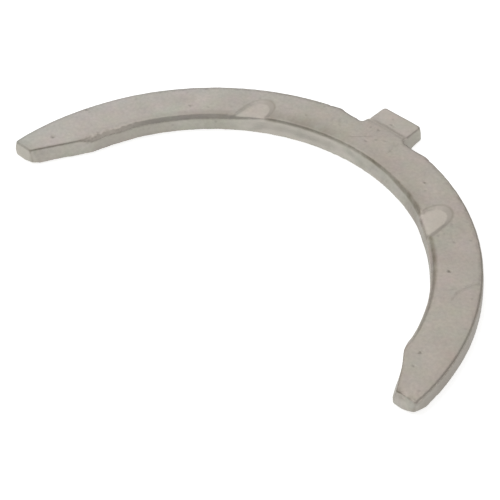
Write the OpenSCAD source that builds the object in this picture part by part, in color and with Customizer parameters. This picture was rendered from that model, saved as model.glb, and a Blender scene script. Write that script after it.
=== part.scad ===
// Half-moon thrust washer for a crankshaft.
// It lies on its back with the bearing face up. The origin is the centre of the bore on the back face,
// +Y points to the locating tab and +Z out of the bearing face. All sizes are in millimetres.

/* [Ring] */
// Diameter over the outer edge
outer_d = 69; // [66:0.5:76]
// Diameter of the bore that clears the journal
bore_d = 56.6; // [50:0.2:59]
// Thickness from the back to the bearing face
thickness = 2.31; // [1.6:0.01:4]
// Height of each end face above the washer's centre line
end_gap = 0.3; // [0.1:0.1:2]
// Radius of the outer corner at each end
end_corner_r = 0.35; // [0.2:0.05:1.5]
// Rounding of the outer edge on the bearing face
edge_roll = 0.3; // [0.1:0.05:0.6]

/* [Bore chamfer] */
// Width of the chamfer on the bearing face
chamfer_w = 0.55; // [0.2:0.05:1.2]
// Depth of the chamfer down the bore wall
chamfer_h = 0.45; // [0.2:0.05:1]

/* [End reliefs] */
// How far the relief opens the bore at an end face
relief_open = 3.2; // [1:0.1:4.5]
// Height above the end face at which the relief meets the bore
relief_rise = 7; // [4:0.1:12]

/* [Locating tab] */
// Width of the tab
tab_w = 6.3; // [3:0.1:10]
// Reach of the tab beyond the outer edge
tab_reach = 3.55; // [2:0.05:8]
// Drop from the bearing face to the tab
tab_step = 0.3; // [0.1:0.05:0.8]
// Length of the rolled slope from the bearing face down to the tab
step_run = 0.9; // [0.3:0.05:1.8]
// Radius of the tab's outer corners
tab_corner_r = 0.45; // [0.2:0.05:1.4]
// Drop from the outer edge to the flat shoulders beside the tab
shoulder_drop = 1; // [0.4:0.05:1.5]
// Fillet where the tab's sides meet the shoulders
root_r = 0.7; // [0.1:0.05:1]

/* [Oil pockets] */
// Distance from the centre line to the left pocket
pocket_left = 15; // [10:0.1:18]
// Distance from the centre line to the right pocket
pocket_right = 16; // [10:0.1:18]
// Width of a pocket at the bearing face
pocket_w = 4; // [2:0.1:6]
// Depth of a pocket's floor below the bearing face
pocket_depth = 0.25; // [0.1:0.05:0.7]
// Metal left between a pocket's round end and the outer edge
pocket_land = 1.95; // [1:0.05:3]
// Lean of a pocket's side walls from upright
pocket_draft = 63; // [30:1:70]
// Backward lean of a pocket's round end
pocket_lean = 26; // [5:1:30]

/* [Hidden] */
$fn = 128;
metal = [0.70, 0.68, 0.64];
// Overshoot that takes a cut clear of the face it opens
clear = 1;
outer_r = outer_d / 2;
bore_r = bore_d / 2;
tab_end = outer_r + tab_reach;
shoulder_y = outer_r - shoulder_drop;
slope_start = outer_r - edge_roll;
tab_thickness = thickness - tab_step;
// Radius of the rolled slope, which leaves the bearing face without a kink
roll_r = (pow(step_run, 2) + pow(tab_step, 2)) / (2 * tab_step);
// Inner corner of an end face, and the point where the relief meets the bore
end_x = bore_r + relief_open;
relief_y = end_gap + relief_rise;
relief_x = sqrt(pow(bore_r, 2) - pow(relief_y, 2));
relief_slope = (end_x - relief_x) / relief_rise;
// Centre of the rounding at an end's outer corner, and how far out its cut reaches
corner_y = end_gap + end_corner_r;
corner_x = sqrt(pow(outer_r - end_corner_r, 2) - pow(corner_y, 2));
corner_reach = (outer_r + clear) / (outer_r - end_corner_r);
// A pocket is a V groove that runs out in a leaning cone, with both cut off flat at the floor.
// The cone touches the groove's walls along two lines, which lean by tangent_lean for each unit of height.
groove_depth = pocket_w / 2 / tan(pocket_draft);
cone_angle = asin(sin(pocket_draft) * cos(pocket_lean));
cone_length = 2 * pocket_w;
tangent_lean = tan(pocket_lean) / pow(cos(pocket_draft), 2);

// Section of the ring, radius against height
module ring_section() {
    difference() {
        polygon([
            [bore_r, 0],
            [outer_r, 0],
            [outer_r, thickness],
            [bore_r + chamfer_w, thickness],
            [bore_r, thickness - chamfer_h]
        ]);
        translate([outer_r - edge_roll, thickness - edge_roll])
            difference() {
                square(edge_roll + clear);
                circle(edge_roll);
            }
    }
}

// Section through the tab, rolling over from the bearing face down to the tab's own level
module tab_section() {
    inner_r = bore_r + chamfer_w;
    translate([inner_r, 0])
        square([tab_end + clear - inner_r, tab_thickness]);
    translate([inner_r, 0])
        square([slope_start - inner_r, thickness]);
    intersection() {
        translate([slope_start, thickness - roll_r])
            circle(roll_r);
        translate([slope_start - edge_roll, tab_thickness / 2])
            square([edge_roll + step_run, thickness]);
    }
}

// Straight cut that widens the bore towards one end, drawn on the +X side
module relief_outline() {
    low_y = end_gap - clear;
    polygon([
        [end_x + relief_slope * clear, low_y],
        [relief_x, relief_y],
        [0, relief_y],
        [0, low_y]
    ]);
}

// Corner taken off one end where it meets the outer edge, drawn on the +X side
module end_corner_outline() {
    low_y = end_gap - clear;
    difference() {
        polygon([
            [corner_x, corner_y],
            [corner_x, low_y],
            [outer_r + clear, low_y],
            [corner_x * corner_reach, corner_y * corner_reach]
        ]);
        translate([corner_x, corner_y])
            circle(end_corner_r);
    }
}

// Outline of the half ring without its tab
module ring_outline() {
    difference() {
        translate([-outer_r - clear, end_gap])
            square([2 * (outer_r + clear), shoulder_y - end_gap]);
        for (side = [0, 1])
            mirror([side, 0]) {
                relief_outline();
                end_corner_outline();
            }
    }
}

// Fillet at the foot of the tab, on the +X side
module root_fillet() {
    translate([tab_w / 2, shoulder_y])
        difference() {
            translate([-clear, -clear])
                square(root_r + clear);
            translate([root_r, root_r])
                circle(root_r);
        }
}

// Outline of the tab and its feet, from the ring to the rounded outer corners
module tab_outline() {
    inner_w = tab_w - 2 * tab_corner_r;
    foot_y = shoulder_y - clear;
    translate([-tab_w / 2, foot_y])
        square([tab_w, tab_end - tab_corner_r - foot_y]);
    translate([-inner_w / 2, foot_y])
        square([inner_w, tab_end - foot_y]);
    for (side = [-1, 1])
        translate([side * inner_w / 2, tab_end - tab_corner_r])
            circle(tab_corner_r);
    for (side = [0, 1])
        mirror([side, 0])
            root_fillet();
}

// Space cut by one oil pocket: open to the bore, flat floored and running out towards the outer edge
module pocket(x) {
    floor_z = thickness - pocket_depth;
    top_z = thickness + clear;
    tip_z = thickness - groove_depth;
    end_y = sqrt(pow(outer_r - pocket_land, 2) - pow(x, 2));
    tip_y = end_y - groove_depth * tan(cone_angle + pocket_lean);
    // Straight stretch of groove, as far as the lines where it meets the cone
    intersection() {
        translate([x, end_y, tip_z])
            rotate([90, 0, 0])
                linear_extrude(height = end_y)
                    polygon([[0, 0], [pocket_w, 2 * groove_depth], [-pocket_w, 2 * groove_depth]]);
        translate([x - pocket_w, 0, 0])
            rotate([90, 0, 90])
                linear_extrude(height = 2 * pocket_w)
                    polygon([
                        [0, floor_z],
                        [tip_y + (floor_z - tip_z) * tangent_lean, floor_z],
                        [tip_y + (top_z - tip_z) * tangent_lean, top_z],
                        [0, top_z]
                    ]);
    }
    // Round end
    intersection() {
        translate([x, tip_y, tip_z])
            rotate([-pocket_lean, 0, 0])
                cylinder(h = cone_length, r1 = 0, r2 = cone_length * tan(cone_angle));
        translate([x - pocket_w, 0, floor_z])
            cube([2 * pocket_w, outer_r, top_z - floor_z]);
    }
}

module thrust_washer() {
    color(metal)
        difference() {
            union() {
                intersection() {
                    rotate_extrude()
                        ring_section();
                    linear_extrude(height = thickness)
                        ring_outline();
                }
                intersection() {
                    rotate_extrude()
                        tab_section();
                    linear_extrude(height = thickness)
                        tab_outline();
                }
            }
            pocket(-pocket_left);
            pocket(pocket_right);
        }
}

thrust_washer();
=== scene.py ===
"""Half-moon thrust washer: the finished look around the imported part, shaped in millimetres, kept in metres."""
import math

import bmesh
import bpy
import numpy as np
from mathutils import Matrix, Vector, noise
from mathutils.bvhtree import BVHTree


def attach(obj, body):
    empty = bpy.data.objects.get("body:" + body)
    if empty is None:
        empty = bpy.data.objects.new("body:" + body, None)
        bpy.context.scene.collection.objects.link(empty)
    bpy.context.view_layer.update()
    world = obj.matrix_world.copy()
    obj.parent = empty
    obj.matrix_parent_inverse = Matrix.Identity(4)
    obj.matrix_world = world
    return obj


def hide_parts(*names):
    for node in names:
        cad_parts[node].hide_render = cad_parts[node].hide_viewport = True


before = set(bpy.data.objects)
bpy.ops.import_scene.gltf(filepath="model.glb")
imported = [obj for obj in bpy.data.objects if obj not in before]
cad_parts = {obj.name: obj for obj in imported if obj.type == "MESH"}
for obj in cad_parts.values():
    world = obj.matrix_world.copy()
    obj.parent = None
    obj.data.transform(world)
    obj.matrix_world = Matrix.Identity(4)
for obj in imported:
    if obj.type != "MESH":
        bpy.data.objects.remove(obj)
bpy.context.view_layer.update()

MM = 0.001
ROOT_2 = math.sqrt(2.0)

# Sizes of the washer, as in the part's source
BORE_R = 28.3
OUTER_R = 34.5
THICK = 2.31
END_Y = 0.3
END_X = 31.5
CHAMFER_W = 0.55
CHAMFER_H = 0.45
EDGE_ROLL = 0.3
POCKET_DEPTH = 0.25

# Oil pockets: place across the washer and width. Both lie beyond POCKET_Y
POCKETS = ((-15.0, 4.0), (16.0, 4.0))
POCKET_Y = 15.0

# Share of its depth that a pressed pocket keeps
POCKET_EASE = 0.65

# How far the relief cuts lean inwards for each millimetre above the end faces
RELIEF_LEAN = 0.59

# Spacing of the net of faces that the finished washer is shaped from
SKIN_SPACING = 0.125

# A point lies on a wall where the upward part of its direction is less than this
WALL_UP = 0.42

# Stretches round the ring, in degrees from +X: where each one rises and where it dies away
BROKEN_OUT = ((56.0, 68.0), (116.0, 128.0))
TIGHT_LEFT = ((150.0, 156.0), (164.5, 167.5))
TIGHT_RIGHT = ((30.0, 42.0), (54.0, 62.0))
CRUMBLED_EDGE = ((148.0, 156.0), (164.5, 167.5))
SWOLLEN_RIM = ((12.0, 22.0), (42.0, 50.0))
# The next two: where the painted shade along the outer rim's edge is deeper, and where it is fainter
DEEPER_RIM_SHADE = ((18.0, 24.0), (38.0, 44.0))
FAINTER_RIM_SHADE = ((46.0, 54.0), (94.0, 98.0))
HEAVY_LINE = ((57.0, 64.0), (72.0, 80.0))
STREAKED_WALL = ((72.0, 84.0), (120.0, 128.0))
# Stretch of the bore wall that gets painted light
LIT_BORE_WALL = ((80.0, 98.0), (118.0, 132.0))
# Stretch of the outer wall that gets painted shade
SHADED_OUTER_WALL = ((26.0, 33.0), (42.0, 50.0))

# Dents in the bearing face: x, y, radius and depth
DENTS = (
    (-31.38, 4.22, 0.26, 0.09),
    (-22.47, 20.83, 0.22, 0.08),
    (-32.30, 11.00, 0.28, 0.09),
    (-20.39, 22.23, 0.20, 0.04),
    (-0.37, 33.67, 0.22, 0.08),
    (-0.19, 30.94, 0.22, 0.07),
    (10.85, 29.72, 0.26, 0.07),
    (11.90, 28.64, 0.20, 0.04),
    (20.66, 23.70, 0.24, 0.04),
    (23.53, 19.35, 0.26, 0.12),
    (29.72, 6.70, 0.20, 0.09),
    (30.52, 4.58, 0.22, 0.07),
    (3.60, 31.50, 0.20, 0.04),
    (-0.06, 35.87, 0.24, 0.06),
    (0.39, 35.78, 0.20, 0.05),
)

# Scratches and smears: the points that each one runs through, its half width, depth and darkness
SCRATCHES = (
    (((-2.26, 30.24), (-1.30, 31.20), (-0.31, 32.07)), 0.17, 0.02, 0.40),
    (((26.89, 15.79), (26.63, 17.12), (26.85, 18.60), (27.52, 20.16)), 0.17, 0.03, 0.50),
    (((25.60, 16.90), (26.10, 17.60)), 0.17, 0.02, 0.35),
    (((29.69, 6.43), (29.77, 6.94)), 0.17, 0.03, 0.6),
    (((18.60, 25.70), (19.24, 26.27), (20.18, 25.89)), 0.45, 0.0, 0.20),
    (((-12.41, 28.92), (-11.91, 29.36)), 0.24, 0.01, 0.25),
    (((-18.79, 27.09), (-18.21, 27.46)), 0.24, 0.01, 0.22),
    (((-6.25, 30.62), (-6.41, 31.59)), 0.22, 0.0, 0.30),
    (((-11.68, 30.27), (-10.72, 29.44)), 0.35, 0.0, 0.14),
    (((-26.22, 19.35), (-25.04, 18.40)), 0.28, 0.0, 0.12),
    (((3.27, 32.27), (3.47, 31.65), (3.53, 31.09)), 0.18, 0.01, 0.42),
    (((1.50, 32.45), (1.98, 32.53)), 0.18, 0.01, 0.36),
    (((2.82, 32.90), (3.43, 32.58), (3.44, 33.10)), 0.18, 0.01, 0.36),
    (((5.29, 30.61), (5.68, 30.96)), 0.24, 0.0, 0.26),
    (((-5.68, 31.96), (-4.77, 30.83)), 0.28, 0.0, 0.30),
)

# Swell of the tab's right side: place along the tab, and how far the side stands out at the back
SWELL_Y = (33.5, 34.5, 35.6, 36.7, 38.1)
SWELL_OUT = (0.50, 0.55, 0.46, 0.24, 0.14)

# Fill at the foot of the tab on the right: the corner, its round, the place across it, and the fill there
FOOT_X, FOOT_Y = 3.355, 33.705
FOOT_ROUND = 0.29
FOOT_ACROSS = (-1.3, -0.78, -0.5, 0.0, 0.5, 0.95, 1.6, 2.2)
FOOT_FILL = (0.0, 0.10, 0.25, 0.50, 0.37, 0.10, 0.0, 0.0)

# Colours of the metal, some of them standing for painted light and shade
# Dark colour of grime, and of the painted shade on edges, in corners and on pocket rims
GRIME_AND_SHADE = (0.115, 0.098, 0.062, 1.0)
# Painted cool cast of the bluish light from the left
COOL_LIGHT_CAST = (0.938, 1.0, 1.064, 1.0)
# Painted shade on the slopes of the pockets
POCKET_SIDE_SHADE = (0.385, 0.350, 0.308, 1.0)
# Lighter colours for paler metal and for painted light: on the bearing face, then on the cut sides
PALE_AND_LIT_FACE = (0.640, 0.582, 0.515, 1.0)
PALE_AND_LIT_SIDE = (0.490, 0.458, 0.410, 1.0)
# Darker cut side: uncoated steel, and painted shade on the outer wall
BARE_AND_SHADED_SIDE = (0.316, 0.288, 0.252, 1.0)

# The photograph's camera: the point it looks at, its angles in degrees, its distance and its lens
AIM = (2.1908, 6.7728, 1.155)
AZIMUTH, ELEVATION, LEAN = 46.070, 43.062, 2.798
DISTANCE = 234.178
LENS, SENSOR = 136.9, 36.0


def smooth_step(low, high, value):
    """0 below low, 1 above high and a soft rise between them."""
    t = np.clip((value - low) / (high - low), 0.0, 1.0)
    return t * t * (3.0 - 2.0 * t)


def fall(low, high, value):
    """1 below low, 0 above high and a soft fall between them."""
    return 1.0 - smooth_step(low, high, value)


def span(value, rise, drop):
    """1 between a soft rise and a soft drop, 0 outside them."""
    return smooth_step(*rise, value) * fall(*drop, value)


def bell(value, middle, width):
    """1 at the middle, dying away on both sides."""
    return np.exp(-(((value - middle) / width) ** 2))


def turn_of(x, y):
    """Place round the ring, in degrees from +X."""
    return np.degrees(np.arctan2(y, x))


def relief_x(y):
    """Distance of the relief cut from the centre line at a height above the end faces."""
    return END_X - RELIEF_LEAN * (y - END_Y)


def read_points(mesh):
    """Places of the mesh's points, one row each."""
    co = np.empty(len(mesh.vertices) * 3)
    mesh.vertices.foreach_get("co", co)
    return co.reshape(-1, 3)


def write_points(mesh, co):
    """Moves the mesh's points to these places."""
    mesh.vertices.foreach_set("co", co.ravel())
    mesh.update()


def read_normals(mesh):
    """Directions that the mesh's points face."""
    no = np.empty(len(mesh.vertices) * 3)
    mesh.vertex_normals.foreach_get("vector", no)
    return no.reshape(-1, 3)


def read_edges(mesh):
    """Pairs of points that an edge joins."""
    ed = np.empty(len(mesh.edges) * 2, dtype=np.int64)
    mesh.edges.foreach_get("vertices", ed)
    return ed.reshape(-1, 2)


def keep_value(mesh, name, value):
    """Keeps a value for each point on the mesh."""
    field = mesh.attributes.new(name, "FLOAT", "POINT")
    field.data.foreach_set("value", np.asarray(value, dtype=np.float32))


def stock_mesh(node):
    """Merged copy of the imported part, in millimetres."""
    stock = bmesh.new()
    stock.from_mesh(node.data)
    bmesh.ops.scale(stock, vec=(1 / MM,) * 3, verts=stock.verts)
    bmesh.ops.remove_doubles(stock, verts=stock.verts, dist=0.0005)
    mesh = bpy.data.meshes.new("washer_stock")
    stock.to_mesh(mesh)
    stock.free()
    return mesh


def even_skin(mesh, spacing):
    """The same form on an even net of small faces, fine enough to take dents and soft edges."""
    true_form = BVHTree.FromPolygons([v.co for v in mesh.vertices], [p.vertices for p in mesh.polygons])
    holder = bpy.data.objects.new("washer_stock", mesh)
    bpy.context.scene.collection.objects.link(holder)
    skin = holder.modifiers.new("even_skin", "REMESH")
    skin.mode = "VOXEL"
    skin.voxel_size = spacing
    skin.adaptivity = 0.0
    seen = holder.evaluated_get(bpy.context.evaluated_depsgraph_get())
    made = bpy.data.meshes.new_from_object(seen)
    bpy.data.objects.remove(holder)
    bpy.data.meshes.remove(mesh)
    for point in made.vertices:
        point.co = true_form.find_nearest(point.co)[0]
    return made


def true_walls(mesh):
    """Brings the round walls back to their full round."""
    co = read_points(mesh)
    x, y, z = co.T
    r = np.hypot(x, y)
    outer = (np.abs(r - OUTER_R) < 0.1) & (z < THICK - 0.32) & (y < 33.2) & (y > 0.75)
    bore = (np.abs(r - BORE_R) < 0.1) & (z < THICK - 0.5) & (y > 7.5)
    for wall, radius in ((outer, OUTER_R), (bore, BORE_R)):
        co[wall, :2] *= (radius / r[wall])[:, None]
    write_points(mesh, co)


def true_rim(mesh):
    """Brings the rolled outer edge back to an even roll, a little fuller on the far side."""
    co = read_points(mesh)
    x, y, z = co.T
    r = np.hypot(x, y)
    foot_z = 1.2
    mid_r = OUTER_R - EDGE_ROLL + 0.05 * smooth_step(12.0, 18.0, y) * (x < 0)
    mid_z = THICK - EDGE_ROLL
    ring = (y > 1.6) & (np.abs(x) > 8.7) & (r > 33.8) & (z > foot_z)
    slant = np.arctan2(z - mid_z, r - mid_r)
    roll = ring & (slant >= 0.0) & (slant <= math.pi / 2)
    new_r = np.where(roll, mid_r + EDGE_ROLL * np.cos(slant), r)
    new_z = np.where(roll, mid_z + EDGE_ROLL * np.sin(slant), z)
    wall = ring & (slant < 0.0) & (r > mid_r)
    blend = smooth_step(foot_z, mid_z, z)
    new_r = np.where(wall, r + (mid_r + EDGE_ROLL - r) * blend, new_r)
    co[:, :2] *= (new_r / r)[:, None]
    co[:, 2] = new_z
    write_points(mesh, co)


def thin_back(mesh):
    """A wider net on the flat back, which takes no dents."""
    flat_z = 0.01
    work = bmesh.new()
    work.from_mesh(mesh)
    flat = [
        v for v in work.verts
        if v.co.z < flat_z and all(e.other_vert(v).co.z < flat_z for e in v.link_edges)
    ]
    bmesh.ops.unsubdivide(work, verts=flat, iterations=2)
    work.to_mesh(mesh)
    work.free()


def ease_pockets(mesh):
    """The pressed pockets come out a little shallower than they were cut, with softer slopes."""
    co = read_points(mesh)
    x, y, z = co.T
    for px, width in POCKETS:
        inside = (np.abs(x - px) < width / 2 + 0.3) & (y > POCKET_Y) & (z > THICK - POCKET_DEPTH - 0.02)
        inside &= np.hypot(x, y) > BORE_R + 0.2
        co[inside, 2] = THICK - POCKET_EASE * (THICK - z[inside])
    write_points(mesh, co)


def soften(mesh, rounds_for):
    """Rounds the edges over. rounds_for gives the number of smoothing rounds at each point."""
    work = bmesh.new()
    work.from_mesh(mesh)
    work.verts.ensure_lookup_table()
    rounds = rounds_for(read_points(mesh))
    for done in range(int(rounds.max())):
        chosen = [work.verts[i] for i in np.nonzero(rounds > done)[0]]
        bmesh.ops.smooth_vert(
            work, verts=chosen, factor=0.5, use_axis_x=True, use_axis_y=True, use_axis_z=True
        )
    work.to_mesh(mesh)
    work.free()


def edge_rounds(co):
    """More rounding on the back of the ends and their corners, little on the bearing face."""
    x, y, z = co.T
    rounds = np.full(len(co), 5)
    rounds[(z < 0.9) & (y < 4.5)] = 12
    low = fall(1.2, 1.9, z)
    for corner_x, most, reach in ((OUTER_R, 110, 2.4), (-END_X, 45, 1.6)):
        near = fall(0.3, reach, np.hypot(x - corner_x, y - END_Y))
        rounds = np.maximum(rounds, np.rint(most * near * low))
    return rounds


def swell_ends(co):
    """The ends, and the outer wall on the right, stand out towards the back."""
    x, y, z = co.T
    low = fall(1.0, 2.1, z)
    end = fall(END_Y + 0.2, END_Y + 3.0, y)
    co[:, 1] -= np.where(x > 0, 0.2, 0.12) * low * end
    right_inner = fall(1.0, 6.0, y) * (x > 0) * fall(0.0, 2.2, x - relief_x(y))
    co[:, 0] -= 0.34 * low * right_inner
    left_outer = fall(0.8, 3.0, y) * smooth_step(32.6, 34.0, -x)
    co[:, 0] -= 0.2 * low * left_outer
    left_inner = fall(0.0, 2.2, -x - relief_x(y)) * fall(5.5, 8.0, y) * (x < 0)
    co[:, 0] += 0.18 * low * left_inner
    rim = smooth_step(33.6, 34.4, np.hypot(x, y)) * span(turn_of(x, y), *SWOLLEN_RIM)
    co[:, :2] *= (1.0 + 0.002 * low * rim)[:, None]


def swell_tab(co):
    """The tab and its shoulders stand out towards the back, most at the tab's right foot."""
    x, y, z = co.T
    swell = np.where(x > 0, np.interp(y, SWELL_Y, SWELL_OUT), -0.16 * smooth_step(35.0, 36.4, y))
    lean = np.clip(1.0 - z / 2.1, 0.0, 1.0)
    side = smooth_step(33.7, 34.6, y) * smooth_step(1.6, 3.1, np.abs(x)) * (np.abs(x) < 5.0)
    co[:, 0] += swell * lean * side
    co[:, 1] += 0.15 * fall(1.0, 2.1, z) * smooth_step(36.4, 38.0, y)
    shoulder = smooth_step(33.2, 33.45, y) * (y < 33.9)
    shoulder = shoulder * smooth_step(3.6, 4.2, np.abs(x)) * (np.abs(x) < 8.4)
    co[:, 1] += (0.12 * smooth_step(1.0, 1.8, z) + 0.2 * bell(x, -6.95, 0.55)) * shoulder


def fill_foot(co):
    """A wide slanting fill at the foot of the tab on the right, measured across and along the corner."""
    x, y, _ = co.T
    off_x, off_y = x - FOOT_X, y - FOOT_Y
    across = (off_x - off_y) / ROOT_2
    inward = np.maximum(np.abs(across) - FOOT_ROUND, 0.0) - (off_x + off_y) / ROOT_2
    fill = np.interp(across, FOOT_ACROSS, FOOT_FILL) * fall(0.2, 1.8, inward) * (y > 31.5)
    co[:, :2] += (fill / ROOT_2)[:, None]


def flare_cut_ends(mesh):
    """The stamped ends, the outer wall and the tab swell a little below their upper edges."""
    co = read_points(mesh)
    swell_ends(co)
    swell_tab(co)
    fill_foot(co)
    write_points(mesh, co)


def break_out_bore(mesh):
    """Between the pockets the bore wall leans back under a narrow chamfer. By the ends it is a little tight."""
    co = read_points(mesh)
    x, y, z = co.T
    r = np.hypot(x, y)
    turn = turn_of(x, y)
    cut = BORE_R + CHAMFER_W * np.clip((z - THICK + CHAMFER_H) / CHAMFER_H, 0.0, 1.0)
    lean = BORE_R + 0.42 * smooth_step(0.3, 2.0, z) + 0.13 * smooth_step(1.9, 2.3, z)
    shift = (lean - cut) * fall(0.15, 1.4, r - cut) * span(turn, *BROKEN_OUT)
    tight = 0.12 * span(turn, *TIGHT_LEFT) + 0.18 * span(turn, *TIGHT_RIGHT)
    shift -= tight * fall(0.1, 1.2, r - BORE_R)
    co[:, 0] += shift * x / r
    co[:, 1] += shift * y / r
    inner = np.maximum(relief_x(y), np.sqrt(np.maximum(BORE_R ** 2 - y ** 2, 0.0)))
    co[:, 0] -= 0.27 * bell(y, 5.9, 1.5) * (x > 0) * fall(0.1, 1.6, x - inner)
    write_points(mesh, co)


def bend_of(mesh):
    """How sharply the skin bends at each point: above 0 on outer edges, below 0 in corners."""
    co = read_points(mesh)
    ed = read_edges(mesh)
    total = np.zeros_like(co)
    count = np.zeros(len(co))
    for a, b in ((0, 1), (1, 0)):
        np.add.at(total, ed[:, a], co[ed[:, b]])
        np.add.at(count, ed[:, a], 1.0)
    return np.einsum("ij,ij->i", co - total / count[:, None], read_normals(mesh))


def spread(mesh, value):
    """Blurs a value a little over the skin."""
    ed = read_edges(mesh)
    total = value.copy()
    count = np.ones(len(value))
    for a, b in ((0, 1), (1, 0)):
        np.add.at(total, ed[:, a], value[ed[:, b]])
        np.add.at(count, ed[:, a], 1.0)
    return total / count


def roughen_edges(mesh):
    """Small waves along the cut edges, a crumbled start of the chamfer and a torn edge on the right end."""
    co = read_points(mesh)
    no = read_normals(mesh)
    x, y, z = co.T
    edge = np.clip(np.abs(bend_of(mesh)) / 0.011, 0.0, 1.0)
    on_chamfer = fall(BORE_R + 0.6, BORE_R + 0.9, np.hypot(x, y)) * smooth_step(1.5, 1.8, z)
    crumbled = span(turn_of(x, y), *CRUMBLED_EDGE) * on_chamfer
    torn = fall(0.6, 1.1, y) * smooth_step(1.6, 2.0, z) * (x > 0)
    for i in np.nonzero((edge > 0.2) | (crumbled > 0.0) | (torn > 0.0))[0]:
        here = Vector(co[i])
        wave = 0.022 * edge[i] * noise.noise(here * 0.9) + 0.014 * edge[i] * noise.noise(here * 2.3)
        wave += 0.07 * crumbled[i] * noise.noise(here * 2.8)
        wave += 0.16 * torn[i] * noise.noise(here * 1.1)
        co[i] += no[i] * wave
    write_points(mesh, co)


def press_marks(mesh):
    """Pits and scratches pressed into the upper faces. Gives back how strongly each point is marked."""
    co = read_points(mesh)
    no = read_normals(mesh)
    up = (no[:, 2] > 0.8) & (co[:, 2] > THICK - 0.45)
    full_depth = 0.1
    marked = np.zeros(len(co))
    for x, y, radius, depth in DENTS:
        far = np.hypot(co[:, 0] - x, co[:, 1] - y) / radius
        hit = np.where(up & (far < 1.0), (1.0 - np.minimum(far, 1.0) ** 2) ** 2, 0.0)
        co[:, 2] -= depth * hit
        marked = np.maximum(marked, hit * min(1.0, depth / full_depth))
    for line, width, depth, dark in SCRATCHES:
        for start, end in zip(line, line[1:]):
            a, b = np.array(start), np.array(end)
            along = np.clip(((co[:, :2] - a) @ (b - a)) / ((b - a) @ (b - a)), 0.0, 1.0)
            gap = np.linalg.norm(co[:, :2] - a - along[:, None] * (b - a), axis=1)
            hit = np.where(up, np.clip(1.0 - gap / width, 0.0, 1.0), 0.0)
            co[:, 2] -= depth * hit
            marked = np.maximum(marked, dark * hit)
    write_points(mesh, co)
    return marked


class SkinPoints:
    """The points of the finished skin, and the part of the washer that each of them lies on."""

    def __init__(self, mesh):
        co = read_points(mesh)
        self.no = read_normals(mesh)
        self.x, self.y, self.z = co.T
        self.r = np.hypot(self.x, self.y)
        self.turn = turn_of(self.x, self.y)
        self.low = THICK - self.z
        self.up = self.no[:, 2]
        self.wall = self.up < WALL_UP
        self.bore_wall = fall(30.0, 31.0, self.r) * smooth_step(7.0, 8.0, self.y)
        self.right_bore_wall = self.bore_wall * fall(60.0, 76.0, self.turn)
        self.left_arm = smooth_step(119.0, 126.0, self.turn)
        self.crumbled = smooth_step(146.0, 158.0, self.turn)
        by_bore = fall(BORE_R + CHAMFER_W, BORE_R + CHAMFER_W + 0.2, self.r)
        self.chamfer = by_bore * fall(0.4, 0.55, self.low) * (self.up < 0.95)
        across_tab = fall(2.8, 3.1, np.abs(self.x))
        self.tab_slope = span(self.y, (33.8, 34.1), (35.3, 35.6)) * across_tab


def pocket_values(skin):
    """Thin rims of painted shade round the pockets, painted shade on their slopes, their lighter floors, and
    their mouths at the bore.
    """
    rim, slope, floor, mouth = np.zeros((4, len(skin.r)))
    for px, width in POCKETS:
        off = skin.x - px
        inside = (np.abs(off) < width / 2 + 0.3) & (skin.y > POCKET_Y)
        inside &= (skin.r > BORE_R + 0.15) & (skin.up > 0.6)
        level = np.abs(skin.low - POCKET_EASE * POCKET_DEPTH) < 0.02
        floor[inside & level & (skin.up > 0.985)] = 0.5 if px > 0 else 0.24
        past_mouth = inside & (skin.r > BORE_R + CHAMFER_W)
        if px > 0:
            share = smooth_step(-1.1, 0.5, off) * (0.5 + 0.5 * smooth_step(23.5, 25.5, skin.y))
        else:
            share = smooth_step(-1.5, 0.1, off)
        slope = np.where(past_mouth & (skin.low > 0.02) & (floor < 0.2), 0.08 + 0.92 * share, slope)
        edge = span(skin.low, (0.003, 0.012), (0.03, 0.055))
        rim = np.where(past_mouth, edge * (1.0 if px > 0 else 0.85), rim)
        opening = fall(width / 2 - 0.5, width / 2 - 0.1, np.abs(off)) * (skin.y > POCKET_Y)
        mouth = np.maximum(mouth, opening)
    return rim, slope, floor, mouth * (skin.r < BORE_R + 1.0)


def edge_shade_values(skin, bend, mouth):
    """Painted shade on the upper edges and in the corners: more at both ends, less at the pocket mouths and by
    the tab.
    """
    upper = fall(0.5, 0.9, skin.low)
    # Painted shade along the rounded upper edges, and in the corners below them
    lip = np.clip(bend / 0.010, 0.0, 1.0) * upper
    corner = np.clip(-bend / 0.007, 0.0, 1.0) * upper
    edge_shade_share = 1.0 + 0.9 * smooth_step(163.0, 167.0, skin.turn)
    edge_shade_share += fall(3.0, 9.0, skin.turn) * (0.8 - 1.2 * smooth_step(33.4, 33.8, skin.r))
    edge_shade_share += 0.25 * span(skin.turn, *DEEPER_RIM_SHADE)
    edge_shade_share -= 0.4 * span(skin.turn, *FAINTER_RIM_SHADE) * (skin.r > 32.0)
    fainter_mouth_shade = np.where(skin.x > 0, 0.45, 0.85) * mouth
    lip = lip * edge_shade_share * (1.0 - fainter_mouth_shade) * (1.0 - 0.8 * skin.tab_slope)
    return lip, corner * (1.0 - 0.6 * skin.tab_slope)


def bore_line(skin):
    """The dark line along the bore, partly brown and partly painted shade of the rounded chamfer edge, from the
    right end to the left pocket, thick just right of the tab.
    """
    turn = skin.turn
    width = 0.03 + 0.10 * fall(70.0, 92.0, turn) + 0.06 * fall(66.0, 78.0, turn)
    middle = BORE_R + 0.40 + 0.10 * smooth_step(52.0, 66.0, turn)
    heavy = span(turn, *HEAVY_LINE)
    line = fall(width, width + 0.13, np.abs(skin.r - middle + 0.08 * heavy) - 0.08 * heavy)
    line = line * (1.0 - 0.3 * smooth_step(80.0, 96.0, turn)) * (0.6 + 0.4 * smooth_step(26.0, 50.0, turn))
    line = line * fall(0.4 + 0.2 * heavy, 0.6 + 0.2 * heavy, skin.low)
    return line * smooth_step(12.0, 22.0, turn) * (1.0 - skin.left_arm)


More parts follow.
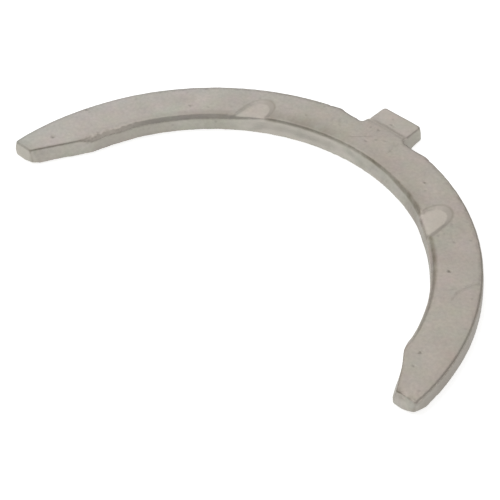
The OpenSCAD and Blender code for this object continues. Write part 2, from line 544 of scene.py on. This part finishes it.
def stain_values(skin):
    """Brown stains on the bearing face: beside the bore, along the right of the outer edge and at both ends."""
    turn, r = skin.turn, skin.r
    by_bore = fall(BORE_R + 0.7, BORE_R + 3.6, r) * smooth_step(58.0, 66.0, turn) * (1.0 - skin.left_arm)
    by_bore = by_bore * (0.16 + 0.34 * smooth_step(90.0, 106.0, turn) + 0.16 * fall(68.0, 76.0, turn))
    on_left = skin.left_arm * fall(BORE_R + 0.8, BORE_R + 1.7, r)
    on_left = on_left * (0.3 - 0.15 * smooth_step(138.0, 152.0, turn))
    by_rim = 0.09 * smooth_step(32.8, 34.0, r) * fall(36.0, 46.0, turn)
    at_ends = 0.2 * fall(0.5, 1.7, skin.y)
    return np.maximum.reduce((by_bore, on_left, by_rim, at_ends)) * (skin.low < 0.1)


def brown_and_shade_values(skin, in_pocket, mouth, streak):
    """How brown or dark each point is: the brown chamfer, the lines and stains by it, painted shade in the
    crease at the tab slope's foot, on the upright corners of the ends and on a stretch of the outer wall, a
    darker stretch of the right bore wall, and dark streaks.
    """
    turn, r, y = skin.turn, skin.r, skin.y
    brown_chamfer = (0.18 - 0.06 * skin.crumbled) * skin.chamfer * skin.left_arm
    line = bore_line(skin) * ~in_pocket * (1.0 - mouth)
    # Dark line on the chamfer's top edge on the left arm: partly brown, partly painted shade of the edge
    top_line = bell(r, BORE_R + CHAMFER_W, 0.13) * smooth_step(117.0, 123.0, turn)
    top_line = top_line * (skin.low < 0.2) * ~in_pocket * (1.0 - skin.crumbled)
    top_line = 0.55 * top_line * (1.0 - 0.6 * smooth_step(132.0, 150.0, turn))
    stain = stain_values(skin) * ~in_pocket
    # Painted shade in the crease at the foot of the tab slope
    slope_foot_shade = 0.05 * skin.tab_slope * bell(y, 34.95, 0.3)
    darker_right_bore = 0.38 * skin.right_bore_wall * skin.wall
    # Painted shade on a stretch of the outer wall
    shaded_outer = 0.2 * span(turn, *SHADED_OUTER_WALL) * (r > 33.5) * skin.wall
    mouth_line = mouth * bell(r, BORE_R, 0.18) * (0.5 + 0.3 * smooth_step(23.0, 24.5, y))
    mouth_line = skin.right_bore_wall * mouth_line * (skin.low < 0.7)
    # Painted shade on the upright corners of the two ends, found by the way the wall faces there
    facing = np.degrees(np.arctan2(-skin.no[:, 1], skin.no[:, 0]))
    corner_shade = bell(facing, np.where(skin.x > 0, 50.0, 58.0), 16.0)
    corner_shade = 0.55 * corner_shade * skin.wall * (np.abs(skin.x) > 29.0) * fall(1.8, 2.4, y)
    dark_streak = 0.3 * np.clip(-streak - 0.1, 0.0, 1.0) * skin.wall
    return np.maximum.reduce((
        brown_chamfer, line, top_line, stain, slope_foot_shade,
        darker_right_bore, shaded_outer, mouth_line, corner_shade, dark_streak,
    ))


def wall_streaks(skin):
    """Long uneven streaks along the bore wall, lighter above 0 and darker below, and light flecks."""
    share = skin.bore_wall * span(skin.turn, *STREAKED_WALL)
    streak, fleck = np.zeros((2, len(share)))
    along = BORE_R * np.arctan2(skin.y, skin.x)
    for i in np.nonzero(share > 0.0)[0]:
        streak[i] = noise.noise((0.5 * along[i], 1.6 * skin.z[i], 3.0))
        fleck[i] = noise.noise((0.9 * along[i], 2.2 * skin.z[i], 9.0))
    return streak * share, smooth_step(0.1, 0.32, fleck) * share


def pale_and_lit_values(skin, floor, streak, fleck):
    """Where the colour is lighter: painted light on the tab slope, the bore wall and the left end, and paler
    pocket floors, start of the chamfer, and streaks and flecks on the bore wall.
    """
    # Painted light on the slope down to the tab
    tab = smooth_step(34.2, 34.7, skin.y) * (skin.up > 0.5) * (0.15 + 0.75 * fall(34.9, 35.3, skin.y))
    chamfer = 0.85 * skin.chamfer * skin.crumbled
    # Painted light on a stretch of the bore wall and on the face of the left end
    lit_wall = skin.bore_wall * span(skin.turn, *LIT_BORE_WALL)
    lit_end = fall(0.5, 0.8, skin.y) * (skin.x < 0)
    light = np.clip(0.6 * lit_wall + 0.6 * streak + 0.5 * lit_end, 0.0, 1.0) * skin.wall
    flecks = fleck * bell(skin.low, 0.46, 0.17)
    return np.maximum.reduce((floor, tab, chamfer, light, flecks))


def sheared_and_shade_values(skin):
    """Where the cut side is darker, partly as uncoated steel and partly as painted shade: the outer edge, and
    less so both ends of the bore wall.
    """
    outer = smooth_step(32.5, 33.5, skin.r) * smooth_step(0.4, 1.2, skin.y)
    outer = outer * (1.0 - 0.7 * smooth_step(34.2, 35.0, skin.y))
    outer = outer * (1.0 - 0.35 * fall(3.0, 7.0, skin.y) * (skin.x > 0))
    left = 0.4 * skin.bore_wall * smooth_step(138.0, 150.0, skin.turn)
    return np.maximum.reduce((outer, 0.3 * skin.right_bore_wall, left))


def cool_light_values(skin):
    """Painted cool light on the left arm, most along the outer edge."""
    by_rim = smooth_step(60.0, 120.0, skin.turn) * smooth_step(31.5, 34.0, skin.r)
    return 0.35 * smooth_step(90.0, 150.0, skin.turn) + 0.35 * by_rim


def note_surfaces(mesh, marked):
    """Keeps on the skin what each point belongs to, for the finishes to read."""
    skin = SkinPoints(mesh)
    rim, slope, floor, mouth = pocket_values(skin)
    in_pocket = (slope > 0.0) | (floor > 0.0)
    lip, corner = edge_shade_values(skin, bend_of(mesh), mouth)
    streak, fleck = wall_streaks(skin)
    keep_value(mesh, "cool_light_cast", cool_light_values(skin))
    keep_value(mesh, "lip", spread(mesh, lip))
    keep_value(mesh, "corner", spread(mesh, corner))
    keep_value(mesh, "pocket_rim_shade", spread(mesh, rim))
    keep_value(mesh, "pocket_slope_shade", spread(mesh, slope))
    keep_value(mesh, "pale_and_lit", spread(mesh, pale_and_lit_values(skin, floor, streak, fleck)))
    keep_value(mesh, "brown_and_shade_band", spread(mesh, brown_and_shade_values(skin, in_pocket, mouth, streak)))
    keep_value(mesh, "sheared_and_shaded", sheared_and_shade_values(skin))
    keep_value(mesh, "marked", marked)


def share_out_finishes(mesh):
    """0 is the bearing face with its chamfer and pockets, 1 the cut sides, 2 the back."""
    no = np.empty(len(mesh.polygons) * 3)
    at = np.empty(len(mesh.polygons) * 3)
    mesh.polygons.foreach_get("normal", no)
    mesh.polygons.foreach_get("center", at)
    up = no.reshape(-1, 3)[:, 2]
    height = at.reshape(-1, 3)[:, 2]
    face = (up > 0.4) & (height > THICK - 0.55)
    finish = np.where(face, 0, np.where(up < -0.7, 2, 1)).astype(np.int32)
    mesh.polygons.foreach_set("material_index", finish)


def make_washer(node, finishes):
    """The finished washer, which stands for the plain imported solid."""
    mesh = even_skin(stock_mesh(node), SKIN_SPACING)
    true_walls(mesh)
    thin_back(mesh)
    ease_pockets(mesh)
    flare_cut_ends(mesh)
    break_out_bore(mesh)
    soften(mesh, edge_rounds)
    true_rim(mesh)
    roughen_edges(mesh)
    note_surfaces(mesh, press_marks(mesh))
    for finish in finishes:
        mesh.materials.append(finish)
    share_out_finishes(mesh)
    mesh.transform(Matrix.Scale(MM, 4))
    mesh.polygons.foreach_set("use_smooth", np.ones(len(mesh.polygons), dtype=bool))
    mesh.name = "thrust_washer_finished"
    washer = bpy.data.objects.new("thrust_washer_finished", mesh)
    bpy.context.scene.collection.objects.link(washer)
    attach(washer, "root")
    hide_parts("thrust_washer")
    return washer


def put(tree, kind, at, settings=(), values=()):
    """A node at a place in the tree, with its settings. Each input takes a plain value or a link."""
    made = tree.nodes.new(kind)
    made.location = at
    for key, value in dict(settings).items():
        setattr(made, key, value)
    for key, value in dict(values).items():
        if isinstance(value, bpy.types.NodeSocket):
            tree.links.new(value, made.inputs[key])
        else:
            made.inputs[key].default_value = value
    return made


def object_place(tree, at):
    """Place on the object, which the patterns are laid out by."""
    return put(tree, "ShaderNodeTexCoord", at).outputs["Object"]


def kept_value(tree, at, name):
    """A value that is kept on the skin."""
    return put(tree, "ShaderNodeAttribute", at, {"attribute_name": name}).outputs["Fac"]


def cloud(tree, at, place, scale, detail, roughness):
    """Uneven clouds."""
    values = {"Vector": place, "Scale": scale, "Detail": detail, "Roughness": roughness}
    return put(tree, "ShaderNodeTexNoise", at, values=values)


def remap(tree, at, value, start, end, low=0.0, high=1.0):
    """Turns the stretch from start to end into low to high."""
    values = {"Value": value, "From Min": start, "From Max": end, "To Min": low, "To Max": high}
    return put(tree, "ShaderNodeMapRange", at, values=values).outputs["Result"]


def reckon(tree, at, operation, *values, clamp=False):
    """One sum on up to three values."""
    settings = {"operation": operation, "use_clamp": clamp}
    return put(tree, "ShaderNodeMath", at, settings, dict(enumerate(values))).outputs["Value"]


def reckon_colour(tree, at, operation, values):
    """One sum on the three parts of a colour."""
    return put(tree, "ShaderNodeVectorMath", at, {"operation": operation}, values).outputs["Vector"]


def mix_colour(tree, at, share, under, over, blend="MIX"):
    """Lays a share of one colour over another."""
    settings = {"data_type": "RGBA", "blend_type": blend}
    return put(tree, "ShaderNodeMix", at, settings, {"Factor": share, "A": under, "B": over}).outputs["Result"]


COLOUR, NUMBER, DIRECTION = "NodeSocketColor", "NodeSocketFloat", "NodeSocketVector"


def new_group(name, inputs, outputs):
    """An empty node group with its sockets. Gives back what comes in and where the results go."""
    tree = bpy.data.node_groups.new(name, "ShaderNodeTree")
    for label, kind, value in inputs:
        tree.interface.new_socket(name=label, in_out="INPUT", socket_type=kind).default_value = value
    for label, kind in outputs:
        tree.interface.new_socket(name=label, in_out="OUTPUT", socket_type=kind)
    start = put(tree, "NodeGroupInput", (-900, 0))
    end = put(tree, "NodeGroupOutput", (900, 0))
    return tree, start.outputs, end.inputs


def plated_colour():
    """Faint light and greenish patches of a thin metal flash, with fine specks and a few dark pits."""
    tree, given, result = new_group(
        "plated_colour",
        (
            ("Base", COLOUR, (0.4, 0.4, 0.4, 1.0)),
            ("Lighter", COLOUR, (0.5, 0.5, 0.5, 1.0)),
            ("Greener", COLOUR, (0.4, 0.42, 0.4, 1.0)),
            ("Patches", NUMBER, 0.5),
            ("Specks", NUMBER, 0.1),
            ("Pits", NUMBER, 0.3),
            ("Tints", NUMBER, 0.05),
        ),
        (("Color", COLOUR),),
    )
    place = object_place(tree, (-900, -300))
    broad = cloud(tree, (-650, 250), place, 130.0, 3.0, 0.5)
    patch = cloud(tree, (-650, 0), place, 220.0, 3.0, 0.5)
    speck = cloud(tree, (-650, -250), place, 2200.0, 3.0, 0.6)
    pit = put(tree, "ShaderNodeTexVoronoi", (-650, -500), values={"Vector": place, "Scale": 480.0})
    tint = cloud(tree, (-650, -750), place, 520.0, 4.0, 0.6)
    wide = remap(tree, (-420, 250), broad.outputs["Fac"], 0.35, 0.65)
    green = remap(tree, (-420, 0), patch.outputs["Fac"], 0.42, 0.68)
    deep = remap(tree, (-420, -250), speck.outputs["Fac"], 0.3, 0.7, -0.5, 0.5)
    hole = remap(tree, (-420, -500), pit.outputs["Distance"], 0.05, 0.13, -1.0, 0.0)
    light = mix_colour(tree, (-150, 200), wide, given["Base"], given["Lighter"])
    share = reckon(tree, (-150, 0), "MULTIPLY", green, given["Patches"])
    mixed = mix_colour(tree, (80, 150), share, light, given["Greener"])
    grain = reckon(tree, (80, -150), "MULTIPLY_ADD", deep, given["Specks"], 1.0)
    pitted = reckon(tree, (80, -400), "MULTIPLY_ADD", hole, given["Pits"], grain)
    shade = reckon_colour(tree, (350, 50), "SCALE", {0: mixed, "Scale": pitted})
    least = reckon(tree, (-150, -800), "MULTIPLY_ADD", given["Tints"], -0.5, 1.0)
    cast_parts = {0: tint.outputs["Color"], 1: given["Tints"], 2: least}
    cast = reckon_colour(tree, (80, -700), "MULTIPLY_ADD", cast_parts)
    tinted = reckon_colour(tree, (600, 0), "MULTIPLY", {0: shade, 1: cast})
    tree.links.new(tinted, result["Color"])
    return tree


# Values on the skin that painted shade and grime gather by, and the input that says how much of each
EDGE_VALUES = (
    ("lip", "Lip"),
    ("corner", "Corner"),
    ("pocket_rim_shade", "Rim"),
    ("brown_and_shade_band", "Band"),
    ("marked", "Mark"),
)


def edge_grime_and_shade():
    """Dark lines, broken up unevenly: painted shade along the upper edges and in the corners, and grime in the
    dents.
    """
    tree, given, result = new_group(
        "edge_grime_and_shade",
        (
            ("Color", COLOUR, (0.4, 0.4, 0.4, 1.0)),
            ("Grime_and_shade", COLOUR, (0.1, 0.09, 0.08, 1.0)),
            ("Lip", NUMBER, 0.5),
            ("Corner", NUMBER, 0.5),
            ("Rim", NUMBER, 0.5),
            ("Band", NUMBER, 0.5),
            ("Mark", NUMBER, 0.8),
        ),
        (("Color", COLOUR),),
    )
    uneven = cloud(tree, (-700, -700), object_place(tree, (-900, -700)), 520.0, 3.0, 0.6)
    broken = remap(tree, (-480, -700), uneven.outputs["Fac"], 0.3, 0.65, 0.5, 1.0)
    total = 0.0
    for row, (name, amount) in enumerate(EDGE_VALUES):
        level = 300 - 190 * row
        value = kept_value(tree, (-700, level), name)
        scaled = reckon(tree, (-480, level), "MULTIPLY", value, given[amount])
        total = reckon(tree, (-250, level), "MAXIMUM", total, scaled)
    share = reckon(tree, (100, -150), "MULTIPLY", total, broken, clamp=True)
    dark = mix_colour(tree, (400, 50), share, given["Color"], given["Grime_and_shade"])
    tree.links.new(dark, result["Color"])
    return tree


def satin_skin():
    """Uneven satin: how rough the metal is, and the height of its fine grain."""
    tree, given, result = new_group(
        "satin_skin",
        (("Roughness", NUMBER, 0.45), ("Unevenness", NUMBER, 0.1), ("Grain", NUMBER, 3200.0)),
        (("Roughness", NUMBER), ("Height", NUMBER)),
    )
    place = object_place(tree, (-900, -300))
    uneven = cloud(tree, (-600, 200), place, 300.0, 3.0, 0.55)
    grain = cloud(tree, (-600, -150), place, given["Grain"], 4.0, 0.65)
    centred = reckon(tree, (-350, 200), "SUBTRACT", uneven.outputs["Fac"], 0.5)
    rough = reckon(tree, (-100, 200), "MULTIPLY_ADD", centred, given["Unevenness"], given["Roughness"])
    tree.links.new(rough, result["Roughness"])
    tree.links.new(grain.outputs["Fac"], result["Height"])
    return tree


def drawn_lines():
    """Height of fine lines that are drawn out in one direction."""
    tree, given, result = new_group(
        "drawn_lines",
        (
            ("Stretch", DIRECTION, (1.0, 1.0, 1.0)),
            ("Scale", NUMBER, 2000.0),
            ("Detail", NUMBER, 3.0),
            ("Roughness", NUMBER, 0.6),
        ),
        (("Height", NUMBER),),
    )
    place = {"Vector": object_place(tree, (-900, -300)), "Scale": given["Stretch"]}
    drawn = put(tree, "ShaderNodeMapping", (-500, 0), values=place).outputs["Vector"]
    lines = cloud(tree, (-200, 0), drawn, given["Scale"], given["Detail"], given["Roughness"])
    tree.links.new(lines.outputs["Fac"], result["Height"])
    return tree


def start_finish(name):
    """A new metal finish and its shader."""
    mat = bpy.data.materials.new(name)
    mat.use_nodes = True
    shader = mat.node_tree.nodes["Principled BSDF"]
    shader.location = (600, 0)
    mat.node_tree.nodes["Material Output"].location = (900, 0)
    shader.inputs["Metallic"].default_value = 0.9
    return mat, mat.node_tree, shader


def use_group(tree, group, at, values):
    """A node group placed in a finish, with its own values."""
    made = put(tree, "ShaderNodeGroup", at, {"node_tree": group}, values)
    made.width = 200
    return made.outputs


def join_finish(tree, shader, colour, rough, height, strength, distance):
    """Joins colour, roughness and fine relief to the shader."""
    relief = {"Height": height, "Strength": strength, "Distance": distance}
    bump = put(tree, "ShaderNodeBump", (300, -300), values=relief)
    tree.links.new(colour, shader.inputs["Base Color"])
    tree.links.new(rough, shader.inputs["Roughness"])
    tree.links.new(bump.outputs["Normal"], shader.inputs["Normal"])


def bearing_face_finish(groups):
    """Warm grey flash on the bearing face, lighter pocket floors and a brown chamfer."""
    mat, tree, shader = start_finish("bearing_face_flash")
    plate = use_group(
        tree,
        groups["plated_colour"],
        (-900, 200),
        {
            "Base": (0.454, 0.407, 0.362, 1.0),
            "Lighter": (0.506, 0.453, 0.405, 1.0),
            "Greener": (0.446, 0.430, 0.366, 1.0),
            "Patches": 0.6,
            "Specks": 0.14,
            "Pits": 0.16,
            "Tints": 0.12,
        },
    )
    arm = kept_value(tree, (-900, 450), "cool_light_cast")
    sides = kept_value(tree, (-900, -100), "pocket_slope_shade")
    # Painted light on the tab slope, bore wall and left end, and paler pocket floors
    floor = kept_value(tree, (-900, -300), "pale_and_lit")
    # Painted cool light on the left arm
    cool_lit = mix_colour(tree, (-650, 400), arm, plate["Color"], COOL_LIGHT_CAST, "MULTIPLY")
    # Painted shade on the pocket slopes
    sloped = mix_colour(tree, (-450, 250), sides, cool_lit, POCKET_SIDE_SHADE)
    bright = mix_colour(tree, (-250, 150), floor, sloped, PALE_AND_LIT_FACE)
    grime = use_group(
        tree,
        groups["edge_grime_and_shade"],
        (50, 100),
        {"Color": bright, "Grime_and_shade": GRIME_AND_SHADE, "Lip": 0.3, "Corner": 0.25, "Rim": 0.34, "Band": 0.8, "Mark": 0.65},
    )
    uneven = {"Roughness": 0.44, "Unevenness": 0.16, "Grain": 3600.0}
    satin = use_group(tree, groups["satin_skin"], (0, -250), uneven)
    join_finish(tree, shader, grime["Color"], satin["Roughness"], satin["Height"], 0.25, 0.00003)
    return mat


def cut_side_finish(groups):
    """Sheared edge: greenish grey with upright drag marks."""
    mat, tree, shader = start_finish("cut_side_steel")
    plate = use_group(
        tree,
        groups["plated_colour"],
        (-700, 200),
        {
            "Base": (0.375, 0.354, 0.312, 1.0),
            "Lighter": (0.430, 0.408, 0.366, 1.0),
            "Greener": (0.372, 0.370, 0.314, 1.0),
            "Patches": 0.75,
            "Specks": 0.14,
            "Pits": 0.16,
            "Tints": 0.12,
        },
    )
    # Painted light on the bore wall and left end, and paler streaks and flecks
    pale_and_lit = kept_value(tree, (-700, -100), "pale_and_lit")
    # Uncoated steel and painted shade on the outer wall and the ends of the bore wall
    cut = kept_value(tree, (-450, -100), "sheared_and_shaded")
    bright = mix_colour(tree, (-450, 150), pale_and_lit, plate["Color"], PALE_AND_LIT_SIDE)
    bare_and_shaded = mix_colour(tree, (-250, 150), cut, bright, BARE_AND_SHADED_SIDE)
    grime = use_group(
        tree,
        groups["edge_grime_and_shade"],
        (50, 150),
        {"Color": bare_and_shaded, "Grime_and_shade": GRIME_AND_SHADE, "Lip": 0.35, "Corner": 0.2, "Rim": 0.2, "Band": 0.8, "Mark": 0.5},
    )
    uneven = {"Roughness": 0.47, "Unevenness": 0.2, "Grain": 2600.0}
    satin = use_group(tree, groups["satin_skin"], (-300, -250), uneven)
    upright = {"Stretch": (1.0, 1.0, 0.12), "Scale": 1700.0, "Detail": 3.0, "Roughness": 0.6}
    drag = use_group(tree, groups["drawn_lines"], (-300, -450), upright)
    height = reckon(tree, (50, -350), "ADD", satin["Height"], drag["Height"])
    join_finish(tree, shader, grime["Color"], satin["Roughness"], height, 0.35, 0.00005)
    return mat


def steel_back_finish(groups):
    """Plain rolled steel back, a little darker, with fine lines along the strip."""
    mat, tree, shader = start_finish("steel_back_rolled")
    plate = use_group(
        tree,
        groups["plated_colour"],
        (-700, 200),
        {
            "Base": (0.400, 0.378, 0.340, 1.0),
            "Lighter": (0.445, 0.420, 0.380, 1.0),
            "Greener": (0.395, 0.390, 0.340, 1.0),
            "Patches": 0.5,
            "Specks": 0.10,
            "Pits": 0.2,
            "Tints": 0.08,
        },
    )
    uneven = {"Roughness": 0.42, "Unevenness": 0.15, "Grain": 2600.0}
    satin = use_group(tree, groups["satin_skin"], (-300, -200), uneven)
    along = {"Stretch": (0.06, 1.0, 1.0), "Scale": 2400.0, "Detail": 2.0, "Roughness": 0.5}
    rolled = use_group(tree, groups["drawn_lines"], (-300, -450), along)
    join_finish(tree, shader, plate["Color"], satin["Roughness"], rolled["Height"], 0.25, 0.00003)
    return mat


def pale_floor():
    """Plain pale floor under the washer."""
    work = bmesh.new()
    bmesh.ops.create_circle(work, cap_ends=True, segments=96, radius=3.0)
    mesh = bpy.data.meshes.new("pale_floor")
    work.to_mesh(mesh)
    work.free()
    floor = bpy.data.objects.new("pale_floor", mesh)
    floor.location.z = -0.02 * MM
    bpy.context.scene.collection.objects.link(floor)
    mat = bpy.data.materials.new("pale_floor")
    mat.use_nodes = True
    shader = mat.node_tree.nodes["Principled BSDF"]
    shader.inputs["Base Color"].default_value = (0.8, 0.8, 0.8, 1.0)
    shader.inputs["Roughness"].default_value = 0.9
    shader.inputs["Specular IOR Level"].default_value = 0.1
    shader.inputs["Emission Color"].default_value = (1.0, 1.0, 1.0, 1.0)
    shader.inputs["Emission Strength"].default_value = 0.64
    mesh.materials.append(mat)
    return floor


def outlook(azimuth, elevation):
    """Direction from the washer to a place at these angles, in degrees."""
    a, e = math.radians(azimuth), math.radians(elevation)
    return Vector((math.sin(a) * math.cos(e), -math.cos(a) * math.cos(e), math.sin(e)))


def soft_light(name, azimuth, elevation, distance, size, strength, colour=(1.0, 1.0, 1.0)):
    """A square soft light that faces the washer. strength is the brightness of its face."""
    away = outlook(azimuth, elevation)
    lamp = bpy.data.lights.new(name, "AREA")
    lamp.shape = "SQUARE"
    lamp.size = size
    lamp.color = colour
    lamp.energy = strength * math.pi * size * size
    holder = bpy.data.objects.new(name, lamp)
    holder.location = Vector((0.0, 0.02, 0.0)) + away * distance
    holder.rotation_mode = "QUATERNION"
    holder.rotation_quaternion = (-away).to_track_quat("-Z", "Y")
    bpy.context.scene.collection.objects.link(holder)
    return holder


def studio():
    """Even room light and soft boxes."""
    world = bpy.data.worlds.new("studio_room")
    bpy.context.scene.world = world
    world.use_nodes = True
    back = world.node_tree.nodes["Background"]
    back.inputs["Color"].default_value = (1.0, 1.0, 1.0, 1.0)
    back.inputs["Strength"].default_value = 0.5
    soft_light("box_behind", 258, 58, 0.8, 1.0, 0.77)
    soft_light("box_left", 305, 20, 0.9, 0.7, 0.65, (0.93, 0.98, 1.04))


def photo_camera():
    """Camera at the photograph's viewing angle."""
    back = outlook(AZIMUTH, ELEVATION)
    lens = bpy.data.cameras.new("photo_camera")
    lens.sensor_width = SENSOR
    lens.lens = LENS
    lens.clip_start = 0.01
    lens.clip_end = 20.0
    camera = bpy.data.objects.new("photo_camera", lens)
    camera.rotation_mode = "QUATERNION"
    camera.location = Vector(AIM) * MM + back * (DISTANCE * MM)
    level = (-back).to_track_quat("-Z", "Y")
    camera.rotation_quaternion = level @ Matrix.Rotation(-math.radians(LEAN), 3, "Z").to_quaternion()
    bpy.context.scene.collection.objects.link(camera)
    bpy.context.scene.camera = camera
    return camera


photo_camera()
studio()
pale_floor()
groups = {made.name: made for made in (plated_colour(), edge_grime_and_shade(), satin_skin(), drawn_lines())}
finishes = (bearing_face_finish(groups), cut_side_finish(groups), steel_back_finish(groups))
make_washer(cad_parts["thrust_washer"], finishes)
bpy.context.scene.view_settings.view_transform = "Standard"
bpy.context.scene.view_settings.look = "None"
